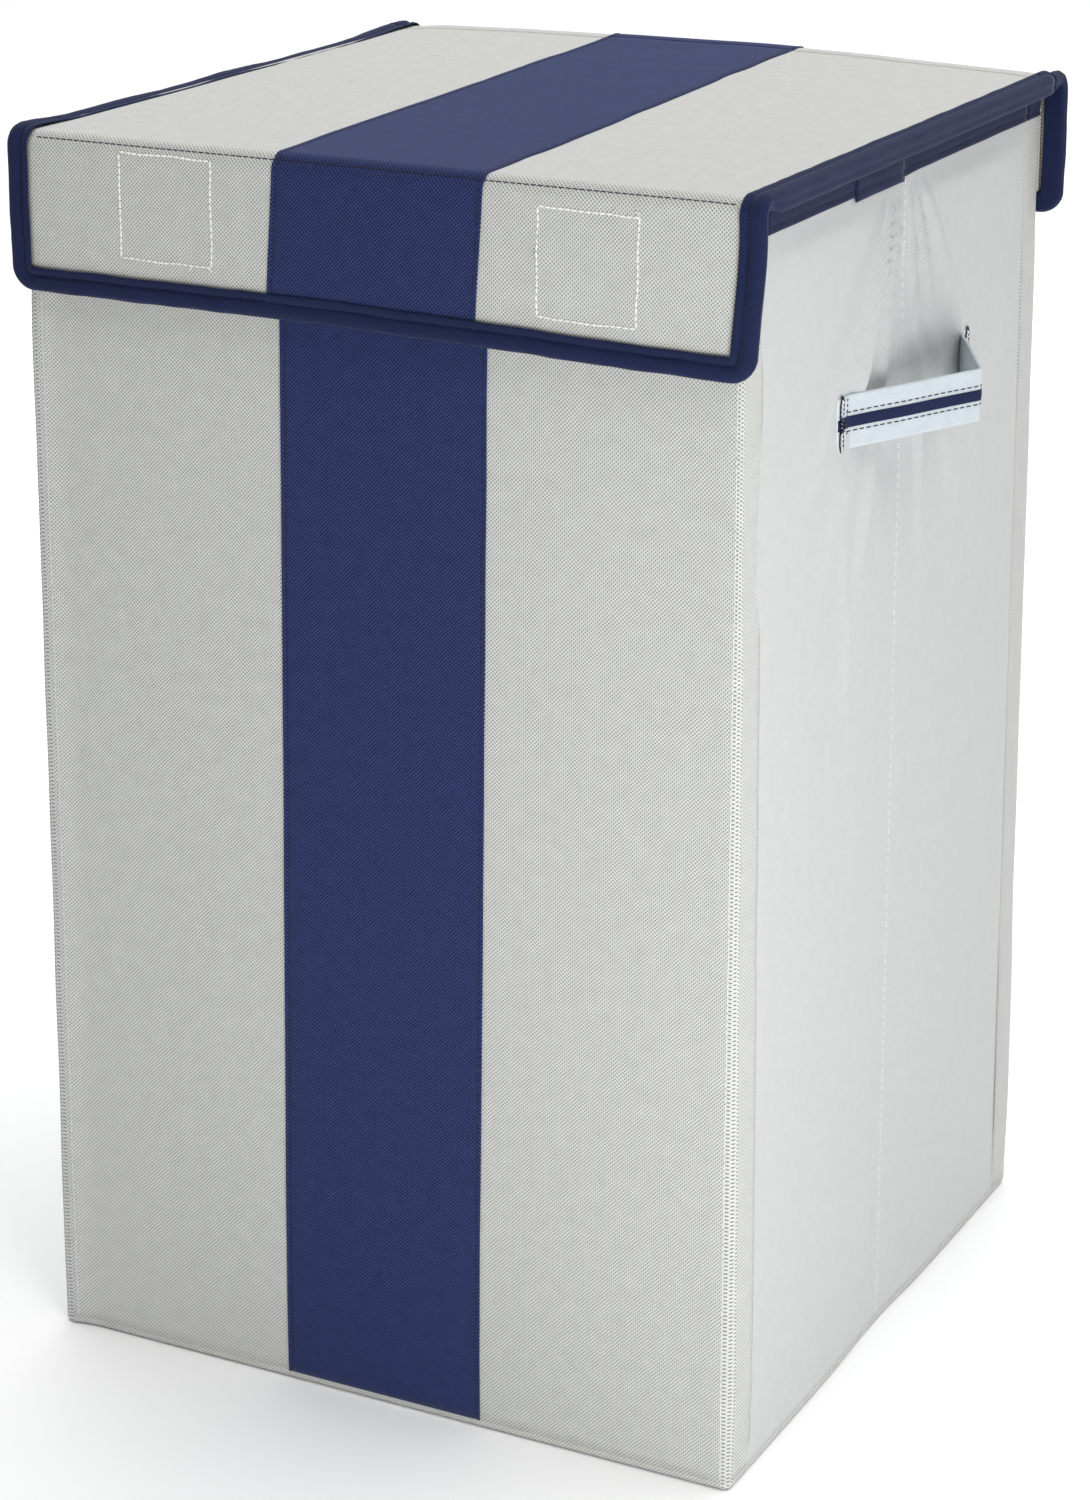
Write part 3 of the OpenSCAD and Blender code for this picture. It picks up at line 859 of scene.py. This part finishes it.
square_lines = []
loose_ends = drawn_thread("loose_ends", 0.22 * MM)
random.seed(12)
for middle_x, middle_v, turn, end_x, end_v in SQUARES:
    corners = [Vector((i * SQUARE_HALF, j * SQUARE_HALF))
               for i, j in ((-1, -1), (1, -1), (1, 1), (-1, 1), (-1, -1))]
    corners = [Matrix.Rotation(math.radians(turn), 2) @ c + Vector((middle_x, middle_v))
               for c in corners]
    for a, b in zip(corners, corners[1:]):
        def along_side(t, a=a, b=b):
            at = a.lerp(b, t / (b - a).length)
            at = at + Vector((0.5 * wave(t, a.x + b.y, 0.012, 3.3),
                              0.5 * wave(t, b.x, 0.014, 6.1))) * MM
            return on_lid(at.x, at.y, FLAP_LIFT)
        square_lines.append((along_side, 0, (b - a).length))
    for k in range(2):
        loose = loose_ends.splines.new("POLY")
        loose.points.add(9)
        start_x = middle_x + end_x * SQUARE_HALF - (3 + 9 * k) * MM
        start_v = middle_v + end_v * SQUARE_HALF
        swing = random.uniform(-1, 1)
        for i in range(10):
            t = i / 9
            bend_x = start_x + (3.5 - 2 * k) * MM * math.sin(t * 2.4 + swing)
            place = on_lid(bend_x, start_v + end_v * (3.2 * t - 1.2 * t * t) * MM,
                           (0.2 + 0.8 * t) * MM)
            loose.points[i].co = (*place, 1)
            loose.points[i].radius = 1.0

square_seams = sew("hook_square_seams", square_lines, white_thread,
                   stitch=2.7 * MM, gap=0.4 * MM, thick=0.95 * MM)
loose_threads = thread_piece("loose_threads", loose_ends, white_thread)
for piece in (square_seams, loose_threads):
    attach(piece, "flap")

# ---------------------------------------------------------------------------
# The lid's boards and lining: a stiff board fills the lid, with its edges rounded where
# the cloth folds, and a second sheet of cloth closes the lid and both flaps underneath.

BOARD_EDGE = 2.4 * MM


def soft_board(name, low, high, edge, material, slot_name):
    """A cut board with its edges rounded over, between two opposite corners."""
    mesh = bmesh.new()
    bmesh.ops.create_cube(mesh, size=1)
    bmesh.ops.scale(mesh, vec=high - low, verts=mesh.verts)
    bmesh.ops.translate(mesh, vec=(low + high) / 2, verts=mesh.verts)
    bmesh.ops.bevel(mesh, geom=mesh.edges[:], offset=edge, affect="EDGES", segments=3,
                    profile=0.5, material=-1)
    flat = mesh.loops.layers.uv.new("cloth")
    for face in mesh.faces:
        for loop in face.loops:
            loop[flat].uv = loop.vert.co.xy
    made = in_scene(mesh, name)
    made.data.materials.append(material)
    return made


def mix_and_raise(made, first, second, share, distance, height, **settings):
    """Mixes a material's two colours by a share, and raises its surface by a height."""
    tree = made.node_tree
    mixed = add_node(tree, "Mix", {"A": first, "B": second, "Factor": share}, data_type="RGBA")
    relief = add_node(tree, "Bump", {"Distance": distance * MM, "Height": height}, **settings)
    feed(tree, tree.nodes["Principled BSDF"],
         {"Base Color": mixed.outputs["Result"], "Normal": relief.outputs["Normal"]})
    return made


def board_material(name, colour, fleck):
    """Grey-brown recycled board: long pressed fibres and small darker flecks."""
    made = plain_material(name, colour, 0.85)
    tree = made.node_tree
    where = add_node(tree, "TexCoord", {})
    pulled = add_node(tree, "Mapping", {"Scale": (90, 90, 700), "Vector": where.outputs["Object"]})
    fibres = add_node(tree, "TexNoise", {"Scale": 3, "Detail": 8,
                                         "Vector": pulled.outputs["Vector"]}).outputs["Fac"]
    share = add_node(tree, "MapRange", {"From Min": 0.3, "From Max": 0.6, "Value": fibres})
    return mix_and_raise(made, fleck, colour, share.outputs["Result"], 0.08, fibres)


chipboard = board_material("chipboard", rgb(176, 158, 130), rgb(140, 124, 100))

lid_board = soft_board(
    "lid_top_board",
    Vector((-LID_HALF_W + 1 * MM, -LID_D + FOLD_R - 0.5 * MM, LID_LOW + 0.9 * MM)),
    Vector((LID_HALF_W - 1 * MM, LID_D - FOLD_R + 0.5 * MM, LID_TOP - 1.1 * MM)),
    BOARD_EDGE, chipboard, "board")
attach(lid_board, "lid")
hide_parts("lid_board")

FLAP_BACK = LID_D - FLAP_T
lining_half = [(-FLAP_BACK, FLAP_LOW), (-FLAP_BACK, LID_LOW - 1 * MM),
               (-FLAP_BACK - 0.2 * MM, LID_LOW + 3.3 * MM), (-FLAP_BACK + 3.9 * MM, LID_LOW)]
lining_line = rounded_line(lining_half + [(-y, z) for y, z in lining_half[::-1]], 0.6 * MM, side=-1)
LINING_SPLIT = lining_line.length - (LID_LOW - FLAP_LOW) - 24 * MM
LINING_FOLD = LID_LOW - FLAP_LOW + 2.5 * MM


def on_lining(x, v):
    at, out = lining_line(v)
    at = at + out * (0.05 + 0.1 * wave(x, v, 0.08, 2.6)) * MM
    return Vector((x, at.x, at.y))


LINING_ACROSS = [-x for x in ticks(-LID_HALF_W, LID_HALF_W, 8 * MM)]
for part, other, start, end, toward in (("front", "flap", 0, LINING_SPLIT, -1),
                                        ("rear", "back", LINING_SPLIT, lining_line.length, 1)):
    marks = ticks(start, end, 6 * MM, LINING_FOLD, LINING_FOLD + 4 * MM,
                  lining_line.length - LINING_FOLD, lining_line.length - LINING_FOLD - 4 * MM)
    lining = lay_cloth(part + "_lid_lining", LINING_ACROSS, marks, on_lining, CLOTH_T, *WALL_CLOTH)
    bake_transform(lining)

# ---------------------------------------------------------------------------
# The body's linings: the inner cloth of each wall's pocket, which holds the wall's board.
# A side's lining lies close against its wall along the side's crease.

INNER = BODY_HALF_W - WALL_T
LINING_LOW = 4.2 * MM
INNER_ROWS = ticks(LINING_LOW, WALL_MAX.z, 10 * MM)
PIVOT_GAP = 4.3 * MM
LINING_INSET = 0.3 * MM
LINING_FOLDS = {"right": (INNER,), "left": (INNER - PIVOT_GAP,), "front": (2 * INNER,), "back": ()}
WALL_LININGS = {
    "front": [(INNER, -INNER), (-INNER + 0.2 * MM, -INNER),
              (-INNER + 0.2 * MM, -INNER + PIVOT_GAP)],
    "back": [(-INNER, INNER), (INNER, INNER)], "right": [(INNER, INNER), (INNER, -INNER)],
    "left": [(-INNER, -INNER + PIVOT_GAP + 1.4 * MM), (-INNER, INNER)]}
for wall, points in WALL_LININGS.items():
    wall_line = rounded_line(points, 0.5 * MM)
    folded = wall in ("right", "left")

    def on_wall_lining(u, z, wall_line=wall_line, folded=folded, wall=wall):
        at, inward = wall_line(u)
        free = ease(abs(at.y), 0.0, 0.006) if folded else 1.0
        free *= (1 - ease(z, RIM_LOW - 0.03, RIM_LOW)) \
            * ease(INNER - max(abs(at.x), abs(at.y)), -0.001, 0.01)
        slack = 0.25 + 0.25 * wave(u, z, 0.10, len(wall) + 0.4)
        at = at + inward * slack * (free if folded else 0.1) * MM
        return Vector((at.x, at.y, z))

    across = ticks(LINING_INSET, wall_line.length, 10 * MM, *LINING_FOLDS[wall])
    lining = lay_cloth(wall + "_lining", across, INNER_ROWS, on_wall_lining,
                       CLOTH_T, *(SIDE_SHADED_CLOTH if folded else WALL_CLOTH))
    if folded:
        fold_side(lining, wall, INNER if wall == "right" else -INNER)
    else:
        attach(lining, wall)

# ---------------------------------------------------------------------------
# The bottom: a sheet of cloth sewn to the four walls, and the loose base board in its own
# cloth, which is lifted against the back wall before the hamper folds flat.

base_cloth = cloth_material("base_cloth", rgb(196, 198, 197), rgb(160, 162, 164), depth=0.08)
BOTTOM_T = 0.6 * MM
BOTTOM_HALF = BODY_HALF_W + 0.4 * MM


def on_floor_cloth(x, y):
    return Vector((x, y, BOTTOM_T + 0.15 * MM * max(0.0, wave(x, y, 0.05, 4.4))))


floor_ticks = ticks(-BOTTOM_HALF, BOTTOM_HALF, 8 * MM)
floor_cloth = lay_cloth("floor_cloth", floor_ticks, floor_ticks, on_floor_cloth,
                        BOTTOM_T, base_cloth, "base_fabric")
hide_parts("bottom_cover")
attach(floor_cloth, "back")


def on_floor_edge(u, z):
    at, out = round_body(u)
    crease = max(bump(u, middle, CREASE_HALF) for middle in (RIGHT_MIDDLE, LEFT_MIDDLE, round_body.length))
    wide = spread(z) * (1 - CREASE_HOLD * crease) + left_corner(u, z)
    at = at + out * (wide + 0.1 * MM - 0.9 * MM * (1 - ease(z, 0.0, 2 * MM)))
    return Vector((at.x, at.y, z))


floor_edge = lay_cloth(
    "floor_edge",
    ticks(LEFT_MIDDLE, round_body.length, 8 * MM, FRONT_LEFT, FRONT_RIGHT, REAR_RIGHT, REAR_LEFT),
    ticks(0.2 * MM, SKIN_LOW + 0.1 * MM, 0.6 * MM), on_floor_edge,
    CLOTH_T, grey_cloth, "base_fabric", closed=True)
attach(floor_edge, "back")
for piece in (floor_cloth, floor_edge):
    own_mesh(piece)

base_pocket = soft_board("base_pocket", *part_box("base_board_cover"), 1.1 * MM,
                         base_cloth, "base_fabric")
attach(base_pocket, "base")
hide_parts("base_board_cover")

rear_seam = lay_cloth(
    "rear_seam", [-x for x in ticks(-INNER, INNER, 10 * MM)],
    ticks(RIM_LOW + 0.5 * MM, RIM_TOP, 3 * MM),
    lambda x, z: Vector((x, BODY_HALF_D + 2.2 * MM, z)), TAPE_T, navy_tape, "navy_tape")
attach(rear_seam, "back")
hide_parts("rear_seam_tape")

# ---------------------------------------------------------------------------
# The handles: a band of pale webbing on each side, sewn down at both ends with bar tacks.
# A narrow navy tape runs along its middle, between two rows of dark stitches.

webbing_cloth = cloth_material("webbing_cloth", rgb(212, 220, 224), rgb(166, 178, 188),
                               pitch=1.1, depth=0.16, mottle=0.05, sheen=0.1)
dark_thread = thread_material("dark_thread", rgb(26, 34, 58))

WEB_HALF = (WEB_MAX.z - WEB_MIN.z) / 2
WEB_END = WEB_MAX.y
WEB_T = 1.4 * MM
BOW = WEB_MAX.x - BODY_HALF_W - 0.1 * MM
BEND_Y = 8 * MM
ANCHOR = 1.7 * MM
handle_line = rounded_line(
    [(FRONT_SHORT - WEB_END, ANCHOR), (FRONT_SHORT - HANDLE_END, ANCHOR), (BEND_Y, BOW + 1.2 * MM),
     (HANDLE_END, ANCHOR), (WEB_END, ANCHOR)], 3.5 * MM, side=-1)
CENTRE_HALF = 2.6 * MM
DASH_UP = 4.4 * MM


def on_handle(x_side, s, up, lift=0.0):
    at, out = handle_line(s)
    sway = 0.35 * wave(s, up, 0.03, 3.9) * ease(s, 0.008, 0.03) \
        * (1 - ease(s, handle_line.length - 0.03, handle_line.length - 0.008))
    rim = 0.2 * bump(abs(up), WEB_HALF - 1.2 * MM, 1.0 * MM) \
        - 0.12 * bump(abs(up), DASH_UP, 0.9 * MM)
    at = at + out * (lift + (sway + rim) * MM)
    return Vector((x_side * (BODY_HALF_W + at.y), at.x, HANDLE_Z + up))


TACK_RISE = 0.35 * MM


def tack_threads(name, x_side, middle):
    """A bar tack: two long loops of dark thread, knotted where they meet, over a pale zigzag."""
    dark = drawn_thread(name, 0.42 * MM)
    pale = drawn_thread(name + "_pale", 0.5 * MM)
    for centre_up, half_up in ((7.6 * MM, 5.6 * MM), (-7.6 * MM, 5.6 * MM)):
        loop = dark.splines.new("POLY")
        loop.points.add(19)
        loop.use_cyclic_u = True
        for i in range(20):
            turn = 2 * math.pi * i / 20
            place = on_handle(x_side, middle + 1.9 * MM * math.cos(turn),
                              centre_up + half_up * math.sin(turn), TACK_RISE)
            loop.points[i].co = (*place, 1)
    zigzags = ((dark, 3.4 * MM, 14, 2.4 * MM, 0.6 * MM), (pale, 11.5 * MM, 22, 0.9 * MM, 0.15 * MM))
    for rows, reach, turns, swing, rise in zigzags:
        run = rows.splines.new("POLY")
        run.points.add(turns)
        for i in range(turns + 1):
            place = on_handle(x_side, middle + swing * (1 if i % 2 else -1),
                              reach * (2 * i / turns - 1), TACK_RISE + rise)
            run.points[i].co = (*place, 1)
    return (thread_piece(name, dark, dark_thread),
            thread_piece(name + "_pale", pale, white_thread))


for side_name, x_side in (("right", 1), ("left", -1)):
    lengths = ticks(0, handle_line.length, 2.5 * MM, handle_line.length / 2)
    if x_side < 0:
        lengths = lengths[::-1]
    webbing = lay_cloth(
        side_name + "_webbing", lengths, ticks(-WEB_HALF, WEB_HALF, 1.2 * MM),
        lambda s, up: on_handle(x_side, s, up), WEB_T, webbing_cloth, "webbing")
    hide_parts(side_name + "_handle_webbing")
    centre_tape = lay_cloth(
        side_name + "_centre_tape", lengths, ticks(-CENTRE_HALF, CENTRE_HALF, 0.8 * MM),
        lambda s, up: on_handle(x_side, s, up, (0.35 + 0.12 * (abs(up) < 1.7 * MM)) * MM),
        0.5 * MM, navy_tape, "navy_tape")
    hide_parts(side_name + "_handle_stripe")
    dashes = sew(side_name + "_handle_dashes",
                 [(lambda s, up=up: on_handle(x_side, s, up, 0.1 * MM), 9 * MM,
                   handle_line.length - 9 * MM) for up in (-DASH_UP, DASH_UP)],
                 dark_thread, stitch=2.9 * MM, gap=1.2 * MM, thick=0.6 * MM)
    for piece in (webbing, centre_tape, dashes):
        fold_side(piece, side_name, x_side * BODY_HALF_W)
    for end_name, middle, row in (
            ("front", 3.6 * MM, 10 * MM),
            ("rear", handle_line.length - 3.6 * MM, handle_line.length - 10 * MM)):
        tack, pale_tack = tack_threads(side_name + "_" + end_name + "_tack", x_side, middle)
        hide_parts(side_name + "_handle_" + end_name + "_tack")
        tack_row = sew(side_name + "_" + end_name + "_tack_row",
                       [(lambda t, s=row: on_handle(x_side, s, t, 0.15 * MM),
                         1 * MM - WEB_HALF, WEB_HALF - 1 * MM)],
                       dark_thread, stitch=1.6 * MM, gap=1.1 * MM, thick=0.6 * MM)
        for piece in (tack, pale_tack, tack_row):
            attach(piece, side_name + "_" + end_name)

# ---------------------------------------------------------------------------
# The parts inside the cloth: boards cut from grey-brown chipboard, and the two squares of hook
# tape and two of loop tape that hold the flap to the front wall.


def closure_material(name, colour, dark, pitch, depth):
    """Hook or loop tape: rows of small tufts, closer and softer on the loop side."""
    made = plain_material(name, colour, 0.7)
    where = add_node(made.node_tree, "TexCoord", {})
    tufts = add_node(made.node_tree, "TexVoronoi", {
        "Scale": 1 / (pitch * MM), "Randomness": 0.35,
        "Vector": where.outputs["Object"]}).outputs["Distance"]
    return mix_and_raise(made, colour, dark, tufts, depth, tufts, invert=True)


hook_tape = closure_material("hook_tape", rgb(222, 224, 224), rgb(150, 152, 154), 1.3, 0.7)
loop_tape = closure_material("loop_tape", rgb(214, 216, 216), rgb(170, 172, 174), 0.7, 0.4)
INSIDE_FINISH = {"hook_patches": hook_tape, "loop_patches": loop_tape}
for node_name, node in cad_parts.items():
    if node.hide_render:
        continue
    node.data.materials.clear()
    node.data.materials.append(INSIDE_FINISH.get(node_name, chipboard))
